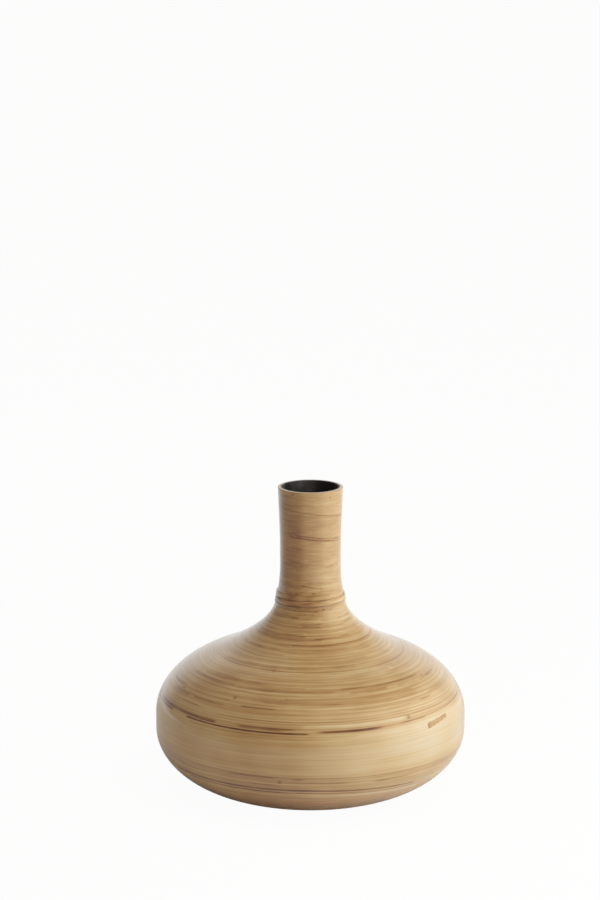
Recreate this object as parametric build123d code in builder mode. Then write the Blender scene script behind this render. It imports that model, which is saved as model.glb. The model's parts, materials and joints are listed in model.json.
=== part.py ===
from build123d import *
import os
from math import asin, ceil, cos, degrees, floor, pi, radians, sin, tan

# Spun bamboo bottle vase, wide and low with a narrow neck. Long bamboo splints are wound
# edge to edge into rolls, and the rolls are pushed out into a bowl and a shoulder and glued.
# One broad splint makes the smooth band at the belly. The neck is a rolled tube with a broad
# strip wound round it. It stands in the throat of the shoulder, and a strap binds the joint.
# A hoop of splint is drawn as short flats that meet in mitres, so hoops nest face to face.
# Origin at the middle of the foot, +Z up through the mouth, front towards -Y. Millimetres.

# Belly
belly_radius = 150.0
belly_upright = 15.0  # height of its upright stretch

# Bowl: an ellipse from the belly down, sanded flat underneath to stand on
bowl_height = 62.0
foot_radius = 71.6
foot_sanding = 1.5  # how much of its round bottom is sanded away

# Shoulder: an ellipse from the belly up, as far as its turn
shoulder_rise = 70.0
shoulder_turn_angle = 60.0
shoulder_reach_share = 0.937  # of the way in from the belly to the throat

# Flare, from the shoulder up to the throat: how far its straight ends pull, of its span
flare_low_share = 0.15
flare_high_share = 0.32

# Throat and neck meet on a cone, where the strap lies
throat_radius = 32.6
throat_height = 193.0
land_lean_angle = 11.0  # off upright

# Neck, with heights above the joint
waist_radius = 29.4
waist_height = 45.0
lip_radius = 31.4
neck_height = 106.0
mouth_radius = 27.0
neck_pull_share = 0.33  # how far its straight ends pull, of each half's height

# Walls
floor_wall = 8.0
body_wall = 5.0
lacquer_coat = 0.5
core_wall = 0.9
spigot_length = 22.0
glue_gap = 0.05

# Floor, band and dark splint
floor_core_radius = 30.0
band_low = 54.0
band_high = 95.0
dark_splint_width = 3.5
dark_splint_sink = 0.6

# Where the band's splint ends: a shallow notch just under the dark splint
notch_length = 33.0
notch_width = 3.0
notch_depth = 1.2  # at its middle, less at its ends
notch_drop = 3.8  # its middle below the top of the band
notch_angle = 54.8  # to the right of the front

# Neck strip, wound down to the right
strip_width = 24.5
strip_seam = 0.5
seam_front_drop = 46.5  # from the lip down to the second seam at the front

# Strap, wound up to the right
strap_width = 5.5
strap_thickness = 1.0
strap_seam = 0.5
strap_turn_share = 1.4  # of a full turn
strap_start_angle = -100.0  # to the right of the front

# Counts of flats in a hoop, of coils, and of steps along an outline or a turn
body_flat_count = 72
neck_flat_count = 48
bowl_coil_count = 3
shoulder_coil_count = 3
coil_splint_count = 3
band_step_count = 2
neck_step_count = 4
seam_step_count = 12
flare_joint_shares = (0.0, 0.34, 0.66, 1.0)

cut_overrun = 2.0

os.makedirs("parts", exist_ok=True)


def hoop(flats, radius):
    """The closed route of a hoop of flats, from the middle of its first flat."""
    corner = radius / cos(pi / flats)
    points = [(radius, 0)]
    for flat in range(flats):
        angle = (2 * flat + 1) * pi / flats
        points.append((corner * cos(angle), corner * sin(angle)))
    with BuildLine() as route:
        Polyline(*points, close=True)
    return route.wire()


def spread(curve, start_share, end_share, steps):
    """Points along a curve, both ends included."""
    shares = [start_share + (end_share - start_share) * step / steps for step in range(steps + 1)]
    return [curve @ share for share in shares]


def plumb(curve, share, wall):
    """The inner end of an upright joint, where the wall has its thickness square to the curve."""
    return (curve @ share) + Vector(0, wall / abs((curve % share).X))


def level(curve, share, wall):
    """The inner end of a level joint."""
    return (curve @ share) - Vector(wall / abs((curve % share).Y), 0)


def turn_from_x(front_angle):
    """The turn about +Z, from +X and in radians, of an angle given to the right of the front."""
    return radians(front_angle) - pi / 2


def corner_angles(flats, start_angle, end_angle):
    """The angles of a hoop's corners, from the last one before the start to the first past the end."""
    step = 2 * pi / flats
    first = floor((start_angle - step / 2) / step)
    last = ceil((end_angle - step / 2) / step)
    return [(number + 1 / 2) * step for number in range(first, last + 1)]


def upright_plane(radius, angle, height):
    """An upright plane through the axis, X outwards and Y up, with its origin where it is told."""
    return Plane(
        origin=(radius * cos(angle), radius * sin(angle), height),
        x_dir=(cos(angle), sin(angle), 0),
        z_dir=(sin(angle), -cos(angle), 0),
    )


# Outline, in the sketch plane: X is the radius and Y the height
bowl_depth = bowl_height + foot_sanding
foot_turn = degrees(asin(bowl_height / bowl_depth))
bowl_reach = (belly_radius - foot_radius) / (1 - cos(radians(foot_turn)))
shoulder_reach = (belly_radius - throat_radius) * shoulder_reach_share
band_low_turn = degrees(asin((bowl_height - band_low) / bowl_depth))
shoulder_foot = bowl_height + belly_upright
band_high_turn = degrees(asin((band_high - shoulder_foot) / shoulder_rise))
splint_turn = degrees(asin((band_high + dark_splint_width - shoulder_foot) / shoulder_rise))

bowl_centre = (belly_radius - bowl_reach, bowl_height)
shoulder_centre = (belly_radius - shoulder_reach, shoulder_foot)


def bowl_arc(start_turn, end_turn):
    """The bowl's outline between two turns of its ellipse, measured down from the belly."""
    return EllipticalCenterArc(
        bowl_centre, bowl_reach, bowl_depth, start_angle=-start_turn, arc_size=start_turn - end_turn
    )


def shoulder_arc(start_turn, end_turn):
    """The shoulder's outline between two turns of its ellipse, measured up from the belly."""
    return EllipticalCenterArc(
        shoulder_centre, shoulder_reach, shoulder_rise, start_angle=start_turn, arc_size=end_turn - start_turn
    )


bowl_line = bowl_arc(foot_turn, band_low_turn)
band_under_line = bowl_arc(band_low_turn, 0)
band_over_line = shoulder_arc(0, band_high_turn)
splint_line = shoulder_arc(band_high_turn, splint_turn)
shoulder_line = shoulder_arc(splint_turn, shoulder_turn_angle)

strap_advance = strap_width + strap_seam
land_length = (strap_width + strap_advance * strap_turn_share) / 2 + glue_gap  # each way from the joint
land_way = Vector(-sin(radians(land_lean_angle)), cos(radians(land_lean_angle)))
land_step = Vector(-land_length * tan(radians(land_lean_angle)), land_length)
throat_rim = Vector(throat_radius, throat_height)
land_low = throat_rim - land_step
land_high = throat_rim + land_step
flare_low = shoulder_line @ 1
flare_span = (land_low - flare_low).length
flare_line = Bezier(
    flare_low,
    flare_low + (shoulder_line % 1) * flare_span * flare_low_share,
    land_low - land_way * flare_span * flare_high_share,
    land_low,
)
vase_height = throat_height + neck_height
waist = Vector(waist_radius, throat_height + waist_height)
lip = Vector(lip_radius, vase_height)
upright = Vector(0, 1)
low_pull = (waist.Y - land_high.Y) * neck_pull_share
high_pull = (lip.Y - waist.Y) * neck_pull_share
lip_way = (lip - waist).normalized()
neck_low_line = Bezier(land_high, land_high + land_way * low_pull, waist - upright * low_pull, waist)
neck_high_line = Bezier(waist, waist + upright * high_pull, lip - lip_way * high_pull, lip)
core_radius = mouth_radius + lacquer_coat
core_outer_radius = core_radius + core_wall
seat_radius = core_outer_radius + glue_gap
seat_height = throat_height - spigot_length

body_hoop = hoop(body_flat_count, belly_radius)
neck_hoop = hoop(neck_flat_count, throat_radius)


def finish_piece(piece, name):
    """Label a finished piece and write it."""
    piece.part.label = name
    export_step(piece.part, f"parts/{name}.step")


def coil(name, section, route):
    """A roll of splints with the given section, wound once round the route."""
    with BuildPart() as roll:
        with BuildSketch(Plane.XZ):
            with BuildLine():
                Polyline(*section, close=True)
            make_face()
        sweep(path=route, transition=Transition.RIGHT)
    finish_piece(roll, name)
    return roll


# Floor: a small tight core, and the coil round it out to the foot
with BuildPart() as floor_core:
    with BuildSketch(Plane.XY):
        RegularPolygon(floor_core_radius, body_flat_count, major_radius=False, rotation=degrees(pi / body_flat_count))
    extrude(amount=floor_wall)
finish_piece(floor_core, "floor_core")

floor_section = (
    (floor_core_radius, 0),
    (foot_radius, 0),
    (foot_radius, floor_wall),
    (floor_core_radius, floor_wall),
)
floor_coil = coil("floor_coil", floor_section, body_hoop)

# Bowl coils, telescoped upwards
for number in range(bowl_coil_count):
    low_share = number / bowl_coil_count
    high_share = (number + 1) / bowl_coil_count
    outside = spread(bowl_line, low_share, high_share, coil_splint_count)
    inner_low = plumb(bowl_line, low_share, body_wall)
    if number == 0:
        inner_low = Vector(foot_radius, floor_wall)
    inner_high = plumb(bowl_line, high_share, body_wall)
    if number == bowl_coil_count - 1:
        inner_high = level(bowl_line, high_share, body_wall)
    coil(f"bowl_coil_{number + 1}", outside + [inner_high, inner_low], body_hoop)

# Belly band, with the notch where its splint ends
band_outside = spread(band_under_line, 0, 1, band_step_count) + spread(band_over_line, 0, 1, band_step_count)
band_inside = [
    level(band_over_line, 1, body_wall),
    Vector(belly_radius - body_wall, shoulder_foot),
    Vector(belly_radius - body_wall, bowl_height),
    level(band_under_line, 0, body_wall),
]
notch_height = band_high - notch_drop
notch_turn = turn_from_x(notch_angle)
notch_radius = (band_over_line @ 1).X
notch_plane = Plane(
    origin=(notch_radius * cos(notch_turn), notch_radius * sin(notch_turn), notch_height),
    x_dir=(-sin(notch_turn), cos(notch_turn), 0),
    z_dir=(cos(notch_turn), sin(notch_turn), 0),
)
with BuildPart() as belly_band:
    with BuildSketch(Plane.XZ):
        with BuildLine():
            Polyline(*band_outside, *band_inside, close=True)
        make_face()
    sweep(path=body_hoop, transition=Transition.RIGHT)
    with BuildSketch(notch_plane.offset(-notch_depth)):
        Rectangle(notch_length, notch_width)
    extrude(amount=notch_depth + cut_overrun, mode=Mode.SUBTRACT)
finish_piece(belly_band, "belly_band")

# Dark splint, sunk a little below its neighbours
sink = Vector(-dark_splint_sink, 0)
splint_section = (
    (splint_line @ 0) + sink,
    (splint_line @ 1) + sink,
    level(splint_line, 1, body_wall),
    level(splint_line, 0, body_wall),
)
dark_splint = coil("dark_splint", splint_section, body_hoop)

# Shoulder coils, telescoped inwards, first on the ellipse and then on the flare
coil_spans = [
    (shoulder_line, number / shoulder_coil_count, (number + 1) / shoulder_coil_count)
    for number in range(shoulder_coil_count)
]
coil_spans += [(flare_line, low, high) for low, high in zip(flare_joint_shares[:-2], flare_joint_shares[1:-1])]
for number, (line, low_share, high_share) in enumerate(coil_spans):
    outside = spread(line, low_share, high_share, coil_splint_count)
    inner_low = plumb(line, low_share, -body_wall)
    if number == 0:
        inner_low = level(line, low_share, body_wall)
    inner_high = plumb(line, high_share, -body_wall)
    coil(f"shoulder_coil_{number + 1}", outside + [inner_high, inner_low], body_hoop)

# Throat, with the seat that the neck stands in
throat_share = flare_joint_shares[-2]
throat_section = spread(flare_line, throat_share, 1, coil_splint_count) + [
    throat_rim,
    Vector(seat_radius, throat_height),
    Vector(seat_radius, seat_height),
    plumb(flare_line, throat_share, -body_wall),
]
throat = coil("throat", throat_section, body_hoop)

# Neck core, a rolled tube whose spigot fills the seat
with BuildPart() as neck_core:
    with BuildSketch(Plane.XY.offset(seat_height)):
        Circle(core_outer_radius)
        Circle(core_radius, mode=Mode.SUBTRACT)
    extrude(amount=vase_height - seat_height)
finish_piece(neck_core, "neck_core")

# Black lacquer coat inside the neck
with BuildPart() as neck_lining:
    with BuildSketch(Plane.XY.offset(seat_height)):
        Circle(core_radius)
        Circle(mouth_radius, mode=Mode.SUBTRACT)
    extrude(amount=vase_height - seat_height)
finish_piece(neck_lining, "neck_lining")

# Neck strip: the waisted outline, parted by a seam that winds down to the right
wrap_section = [throat_rim] + spread(neck_low_line, 0, 1, neck_step_count)
wrap_section += spread(neck_high_line, 0, 1, neck_step_count)[1:]
wrap_section += [Vector(seat_radius, vase_height), Vector(seat_radius, throat_height)]
strip_advance = strip_width + strip_seam  # in a turn
seam_drop = strip_advance / (2 * pi)  # in a radian
seam_front_turn = turn_from_x(0)
seam_front_height = vase_height - seam_front_drop
seam_start_turn = seam_front_turn - (vase_height + cut_overrun - seam_front_height) / seam_drop
seam_end_turn = seam_front_turn + (seam_front_height - throat_height + cut_overrun) / seam_drop
seam_radius = (seat_radius + throat_radius) / 2
with BuildPart() as neck_wrap:
    with BuildSketch(Plane.XZ):
        with BuildLine():
            Polyline(*wrap_section, close=True)
        make_face()
    sweep(path=neck_hoop, transition=Transition.RIGHT)
    for angle in corner_angles(seam_step_count, seam_start_turn, seam_end_turn):
        height = seam_front_height - seam_drop * (angle - seam_front_turn)
        with BuildSketch(upright_plane(seam_radius, angle, height)):
            Rectangle(throat_radius - seat_radius + 2 * cut_overrun, strip_seam)
    loft(ruled=True, mode=Mode.SUBTRACT)
finish_piece(neck_wrap, "neck_wrap")

# Strap, wound up to the right on the land round the joint
strap_start_turn = turn_from_x(strap_start_angle)
strap_end_turn = strap_start_turn + 2 * pi * strap_turn_share
strap_start_height = throat_height - land_length + strap_width / 2
strap_planes = []
for angle in corner_angles(neck_flat_count, strap_start_turn, strap_end_turn):
    height = strap_start_height + strap_advance * (angle - strap_start_turn) / (2 * pi)
    land_radius = throat_radius - (height - throat_height) * tan(radians(land_lean_angle))
    middle_radius = (land_radius + glue_gap + strap_thickness / 2) / cos(pi / neck_flat_count)
    strap_planes.append(upright_plane(middle_radius, angle, height))
with BuildPart() as neck_binding:
    for plane in strap_planes:
        with BuildSketch(plane):
            Rectangle(strap_thickness, strap_width, rotation=land_lean_angle)
    loft(ruled=True)
finish_piece(neck_binding, "neck_binding")

strap_gaps = [
    (upper.origin - lower.origin).length - strap_width
    for lower, upper in zip(strap_planes, strap_planes[neck_flat_count:])
]
print(f"least gap of the strap to itself {min(strap_gaps):.2f}, of the neck strip {strip_seam:.2f}")
print(f"strip in {len(neck_wrap.part.solids())} piece, {neck_wrap.part.volume:.0f} cubic mm")
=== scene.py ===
import json
import math
import random
from bisect import bisect_right
from functools import partial

import bmesh
import bpy
from bpy.props import FloatProperty, FloatVectorProperty, IntProperty, PointerProperty
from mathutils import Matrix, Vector, noise


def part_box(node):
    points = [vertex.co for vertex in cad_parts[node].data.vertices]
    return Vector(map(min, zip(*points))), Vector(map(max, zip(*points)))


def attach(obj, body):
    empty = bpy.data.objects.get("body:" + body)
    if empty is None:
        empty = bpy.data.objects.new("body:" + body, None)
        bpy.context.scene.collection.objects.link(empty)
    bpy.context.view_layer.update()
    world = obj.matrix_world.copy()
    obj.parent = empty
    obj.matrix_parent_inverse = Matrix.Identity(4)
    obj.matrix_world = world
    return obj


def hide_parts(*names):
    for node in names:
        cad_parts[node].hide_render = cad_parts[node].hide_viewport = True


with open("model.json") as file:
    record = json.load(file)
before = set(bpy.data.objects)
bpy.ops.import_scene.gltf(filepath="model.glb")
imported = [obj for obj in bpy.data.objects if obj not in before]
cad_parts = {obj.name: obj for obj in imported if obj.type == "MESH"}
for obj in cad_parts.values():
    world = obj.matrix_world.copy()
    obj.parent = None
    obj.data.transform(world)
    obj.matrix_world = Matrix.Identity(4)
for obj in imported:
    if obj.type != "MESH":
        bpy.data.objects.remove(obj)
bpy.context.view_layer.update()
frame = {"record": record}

# Dresses a coiled bamboo bottle vase. Every piece is wound the way the real one is: thin splints run
# round the vase edge to edge in one spiral, the neck has one broad strip, and a strap binds the joint.

bl_info = {
    "name": "Coiled bamboo bottle vase",
    "version": (1, 0, 0),
    "blender": (4, 5, 0),
    "location": "3D View > Sidebar > Vase",
    "description": "Models the vase's splints, neck strip, strap and black lining, and sets up its studio",
    "category": "Object",
}

MM = 0.001
TURN = 2 * math.pi


def linear(code):
    """An sRGB hex colour as a linear colour."""
    parts = [int(code[i:i + 2], 16) / 255 for i in (1, 3, 5)]
    return [part / 12.92 if part <= 0.04045 else ((part + 0.055) / 1.055) ** 2.4 for part in parts]


def metres(name, description, default):
    """A size in metres, shown in the user's own units."""
    return FloatProperty(name=name, description=description, default=default, unit="LENGTH", precision=5)


def angle_property(name, description, degrees):
    """An angle, given in degrees."""
    return FloatProperty(name=name, description=description, default=math.radians(degrees), unit="ROTATION")


def share_property(name, description, default):
    return FloatProperty(name=name, description=description, default=default, precision=3)


def colour_property(name, description, code):
    colour = linear(code)
    return FloatVectorProperty(name=name, description=description, default=colour, subtype="COLOR", size=3)


def node_top(node):
    """A CAD node's highest corner, which for a round node is also its radius and height."""
    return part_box(node)[1]


MOUTH = next(one for one in frame["record"]["mounts"] if one["name"] == "mouth")["dims"]


class VaseSizes(bpy.types.PropertyGroup):
    """The outline's driving sizes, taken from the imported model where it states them."""

    belly_radius: metres("Belly radius", "Widest radius of the body", node_top("belly_band").x)
    belly_upright: metres("Upright belly", "Height of the belly's upright stretch", 15 * MM)
    bowl_height: metres("Bowl height", "Height of the belly above the foot", 62 * MM)
    foot_radius: metres("Foot radius", "Radius of the flat foot", node_top("floor_coil").x)
    foot_sanding: metres("Foot sanding", "Sanded away under the round bowl", 1.5 * MM)
    core_radius: metres("Floor core", "Radius of the floor's tight middle", node_top("floor_core").x)
    band_low: metres("Band low edge", "Height of the belly band's lower edge", 54 * MM)
    band_high: metres("Band high edge", "Height of the belly band's upper edge", 95 * MM)
    dark_width: metres("Dark splint", "Width of the dark splint on the band", 3.5 * MM)
    shoulder_rise: metres("Shoulder rise", "Height of the shoulder's ellipse", 70 * MM)
    shoulder_turn: angle_property("Shoulder turn", "How far the ellipse turns", 60)
    shoulder_reach_share: share_property("Shoulder reach", "Ellipse's reach, of belly to throat", 0.937)
    flare_low_share: share_property("Flare low pull", "Pull of its lower end, of its span", 0.15)
    flare_high_share: share_property("Flare high pull", "Pull of its upper end, of its span", 0.32)
    throat_radius: metres("Throat radius", "Radius where neck meets body", node_top("neck_wrap").x)
    throat_height: metres("Throat height", "Height of that joint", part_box("neck_wrap")[0].z)
    land_lean: angle_property("Land lean", "Lean of the cone that the strap lies on", 11)
    land_reach: metres("Land reach", "How far the cone goes above and below the joint", 7 * MM)
    waist_radius: metres("Waist radius", "Radius of the neck's waist", 29.4 * MM)
    waist_height: metres("Waist height", "Height of the waist above the joint", 45 * MM)
    neck_pull_share: share_property("Neck pull", "Pull of the neck's straight ends", 0.33)
    lip_radius: metres("Lip radius", "Outer radius of the lip", 31.4 * MM)
    vase_height: metres("Height", "Whole height", node_top("neck_wrap").z)
    mouth_radius: metres("Mouth radius", "Radius inside the lining", MOUTH["r_mm"] * MM)
    mouth_depth: metres("Mouth depth", "Length of the straight bore", MOUTH["length_mm"] * MM)
    lining_coat: metres("Lining coat", "Thickness of the black lacquer", 0.5 * MM)
    body_wall: metres("Body wall", "Thickness of the coiled wall", 5 * MM)
    floor_wall: metres("Floor wall", "Thickness of the floor", node_top("floor_core").z)
    throat_wall: metres("Throat wall", "Thickness of the wall at the seat", 4 * MM)
    wrap_wall: metres("Neck strip wall", "Thickness of the neck's outer layer", 2.9 * MM)
    lip_round: metres("Lip rounding", "Radius of the lip's rounded outer edge", 0.5 * MM)


class WindingSizes(bpy.types.PropertyGroup):
    """How the splints, the neck strip and the strap are wound."""

    splint_least: metres("Least splint", "Width of the narrowest splint", 1.1 * MM)
    splint_most: metres("Widest splint", "Width of the widest splint", 2.3 * MM)
    groove_depth: metres("Groove depth", "Depth of the groove between splints", 0.05 * MM)
    splint_lift: metres("Splint lift", "How far splints differ in level", 0.04 * MM)
    splint_run_share: share_property("Splint length", "Length of one splint, of a turn", 0.83)
    strip_width: metres("Neck strip", "Width of the neck's broad strip and its seam", 25 * MM)
    strip_seam_depth: metres("Neck seam", "Depth of the strip's seam", 0.14 * MM)
    seam_drop: metres("Seam drop", "From the lip down to the second seam in front", 46.5 * MM)
    strap_width: metres("Strap width", "Width of the strap", 5.5 * MM)
    strap_thickness: metres("Strap thickness", "Thickness of the strap", 1.0 * MM)
    strap_seam: metres("Strap seam", "Gap between its turns", 0.15 * MM)
    strap_turns: share_property("Strap turns", "Turns that it goes round", 1.4)
    strap_start: angle_property("Strap start", "Where it starts, to the right of the front", -100)
    line_share: share_property("Line strength", "How strongly single splints stand out", 0.85)
    notch_length: metres("Notch length", "Length of the notch where the band ends", 32 * MM)
    notch_width: metres("Notch width", "Width of that notch", 4.4 * MM)
    notch_depth: metres("Notch depth", "Depth of that notch", 0.7 * MM)
    notch_height: metres("Notch height", "Height of its middle", 91.2 * MM)
    notch_rise: metres("Notch rise", "How much higher its right end is", 3.0 * MM)
    notch_angle: angle_property("Notch place", "Its middle, to the right of the front", 54.8)
    columns: IntProperty(name="Columns", description="Steps round the body", default=288, min=48)
    neck_columns: IntProperty(name="Neck columns", description="Steps round the neck", default=192, min=48)


class VaseColours(bpy.types.PropertyGroup):
    """Colours of the finishes and of the studio."""

    tone_0: colour_property("Darkest bamboo", "Smoked splints and open joints", "#5f3612")
    tone_1: colour_property("Brown bamboo", "Brown splints", "#8c5f32")
    tone_2: colour_property("Tan bamboo", "Most splints", "#b5915a")
    tone_3: colour_property("Light bamboo", "Pale splints", "#cfb584")
    tone_4: colour_property("Palest bamboo", "Freshly sanded splints", "#d8ceb2")
    # The reddish patches darken by this colour; their broad washes are painted shade
    blush_and_shade: colour_property("Blush", "What reddish patches take off the colour", "#f6d7c0")
    lining: colour_property("Lining", "Black lacquer where the brush has thinned it", "#565451")
    lining_thick: colour_property("Thick lining", "Black lacquer where it lies thick", "#232221")
    floor: colour_property("Floor", "Studio floor", "#f4f4f4")
    fill: colour_property("Fill light", "Light from all round the studio", "#fff0e0")


# Points on each curve of the outline
CURVE_STEPS = 60
# Where the flare's three coils part, as shares of its curve
FLARE_SHARES = (0, 0.34, 0.66, 1)


class Outline:
    """The outside of the vase as one line, from the middle of the foot up to the lip."""

    def __init__(self, sizes):
        self.points = []
        self.lengths = []
        self.marks = {"centre": 0.0}
        self.build(sizes)

    def add(self, points, mark):
        """Carries the line on through the points, and marks how far along it they end."""
        for point in points:
            if self.points:
                step = (point - self.points[-1]).length
                if step < 1e-7:
                    continue
                self.lengths.append(self.lengths[-1] + step)
            else:
                self.lengths.append(0.0)
            self.points.append(point)
        self.marks[mark] = self.lengths[-1]

    def build(self, sizes):
        depth = sizes.bowl_height + sizes.foot_sanding
        foot_turn = math.asin(sizes.bowl_height / depth)
        bowl_reach = (sizes.belly_radius - sizes.foot_radius) / (1 - math.cos(foot_turn))
        bowl_centre = Vector((sizes.belly_radius - bowl_reach, sizes.bowl_height))
        band_low_turn = math.asin((sizes.bowl_height - sizes.band_low) / depth)
        shoulder_reach = (sizes.belly_radius - sizes.throat_radius) * sizes.shoulder_reach_share
        shoulder_foot = sizes.bowl_height + sizes.belly_upright
        shoulder_centre = Vector((sizes.belly_radius - shoulder_reach, shoulder_foot))
        band_turn = math.asin((sizes.band_high - shoulder_foot) / sizes.shoulder_rise)
        dark_turn = math.asin((sizes.band_high + sizes.dark_width - shoulder_foot) / sizes.shoulder_rise)

        def ellipse(centre, reach, rise, start, end):
            turns = (start + (end - start) * step / CURVE_STEPS for step in range(CURVE_STEPS + 1))
            return [centre + Vector((reach * math.cos(turn), rise * math.sin(turn))) for turn in turns]

        def bowl(start, end):
            return ellipse(bowl_centre, bowl_reach, -depth, start, end)

        def shoulder(start, end):
            return ellipse(shoulder_centre, shoulder_reach, sizes.shoulder_rise, start, end)

        def thirds(start, end):
            """The three equal spans between two turns, with their numbers."""
            for number in range(3):
                yield number + 1, [start + (end - start) * ((number + edge) / 3) for edge in (0, 1)]

        self.add([Vector((0, 0)), Vector((sizes.core_radius, 0))], "core")
        self.add([Vector((sizes.foot_radius, 0))], "foot")
        for number, span in thirds(foot_turn, band_low_turn):
            self.add(bowl(*span), f"bowl_{number}")
        self.add(bowl(band_low_turn, 0), "belly_low")
        self.add(shoulder(0, band_turn), "band")
        self.add(shoulder(band_turn, dark_turn), "dark")
        for number, span in thirds(dark_turn, sizes.shoulder_turn):
            self.add(shoulder(*span), f"shoulder_{number}")

        land_way = Vector((-math.sin(sizes.land_lean), math.cos(sizes.land_lean)))
        rim = Vector((sizes.throat_radius, sizes.throat_height))
        land_low = rim - land_way * (sizes.land_reach / land_way.y)
        land_high = rim + land_way * (sizes.land_reach / land_way.y)
        low = self.points[-1]
        low_way = (self.points[-1] - self.points[-2]).normalized()
        span = (land_low - low).length
        low_pull = low_way * span * sizes.flare_low_share
        high_pull = land_way * span * sizes.flare_high_share
        flare = (low, low + low_pull, land_low - high_pull, land_low)
        for number in range(3):
            self.add(bezier(flare, FLARE_SHARES[number], FLARE_SHARES[number + 1]), f"flare_{number + 1}")
        self.add([rim], "throat")
        self.add([land_high], "land")
        waist = Vector((sizes.waist_radius, sizes.throat_height + sizes.waist_height))
        lip = Vector((sizes.lip_radius, sizes.vase_height))
        low_pull = (waist.y - land_high.y) * sizes.neck_pull_share
        high_pull = (lip.y - waist.y) * sizes.neck_pull_share
        upright = Vector((0, 1))
        lower_neck = (land_high, land_high + land_way * low_pull, waist - upright * low_pull, waist)
        self.add(bezier(lower_neck, 0, 1), "waist")
        lip_way = (lip - waist).normalized()
        self.add(bezier((waist, waist + upright * high_pull, lip - lip_way * high_pull, lip), 0, 1), "lip")

    def spot(self, length):
        """The point so far along the line."""
        length = clamp(length, 0.0, self.lengths[-1])
        high = clamp(bisect_right(self.lengths, length), 1, len(self.lengths) - 1)
        low = high - 1
        span = self.lengths[high] - self.lengths[low]
        return self.points[low].lerp(self.points[high], (length - self.lengths[low]) / span)

    def at(self, length):
        """The point so far along the line, and the way out of the wall there."""
        reach = 0.5 * MM
        way = (self.spot(length + reach) - self.spot(length - reach)).normalized()
        return self.spot(length), Vector((way.y, -way.x))

    def at_height(self, height):
        """How far along the line the outside reaches a height."""
        for point, length in zip(self.points, self.lengths):
            if point.y >= height:
                return length
        return self.lengths[-1]


def bezier(corners, start, end):
    """Points on a Bezier curve between two of its shares."""
    points = []
    for step in range(CURVE_STEPS + 1):
        t = start + (end - start) * step / CURVE_STEPS
        weights = ((1 - t) ** 3, 3 * t * (1 - t) ** 2, 3 * t * t * (1 - t), t ** 3)
        points.append(sum((corner * weight for corner, weight in zip(corners, weights)), Vector((0, 0))))
    return points


def clamp(value, low, high):
    return min(max(value, low), high)


def step_up(value, low, high):
    """0 below low, 1 above high, and a soft step between them."""
    share = clamp((value - low) / (high - low), 0.0, 1.0)
    return share * share * (3 - 2 * share)


def round_axis(radius, azimuth, height):
    """The point at a radius and height, azimuth to the right of the front as one looks at the vase."""
    angle = azimuth - math.pi / 2
    return radius * math.cos(angle), radius * math.sin(angle), height


def settings(context):
    scene = context.scene
    return scene.vase_sizes, scene.vase_winding, scene.vase_colours


def link(mesh, name, materials):
    """A finished mesh as a piece of the vase."""
    piece = bpy.data.objects.new(name, mesh)
    for material in materials:
        mesh.materials.append(material)
    bpy.context.scene.collection.objects.link(piece)
    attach(piece, "root")
    return piece


# Points nearer to each other than this are one
SAME_POINT = 1e-6


def smooth_mesh(bm, name, crease):
    """Closes the mesh's seams and makes smooth mesh data of it, sharp at bends over crease degrees."""
    bmesh.ops.remove_doubles(bm, verts=bm.verts, dist=SAME_POINT)
    bmesh.ops.dissolve_degenerate(bm, edges=bm.edges, dist=SAME_POINT)
    bmesh.ops.delete(bm, geom=[edge for edge in bm.edges if not edge.link_faces], context="EDGES")
    for face in bm.faces:
        face.smooth = True
    mesh = bpy.data.meshes.new(name)
    bm.to_mesh(mesh)
    bm.free()
    mesh.set_sharp_from_angle(angle=math.radians(crease))
    return mesh


def painted_grid(columns, rows):
    """A flat grid with layers to paint on, those layers, and the column and row of each of its points."""
    bm = bmesh.new()
    loops = bm.loops.layers
    layers = (loops.uv.new("Winding"), loops.float.new("tone"), loops.float.new("blush_and_shade"))
    bmesh.ops.create_grid(bm, x_segments=columns, y_segments=rows, size=0.5)
    cells = {vert: (round((vert.co.x + 0.5) * columns), round((vert.co.y + 0.5) * rows)) for vert in bm.verts}
    return bm, layers, cells


# Height of the rows on a wall's inside
INNER_ROW = 4 * MM
# A turn narrower than this, where the spiral starts or ends, has a shallower relief
FULL_TURN = 0.6 * MM
# Points this near the axis meet on it, which closes the middle of the floor
POLE_RADIUS = 0.2 * MM


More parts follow.
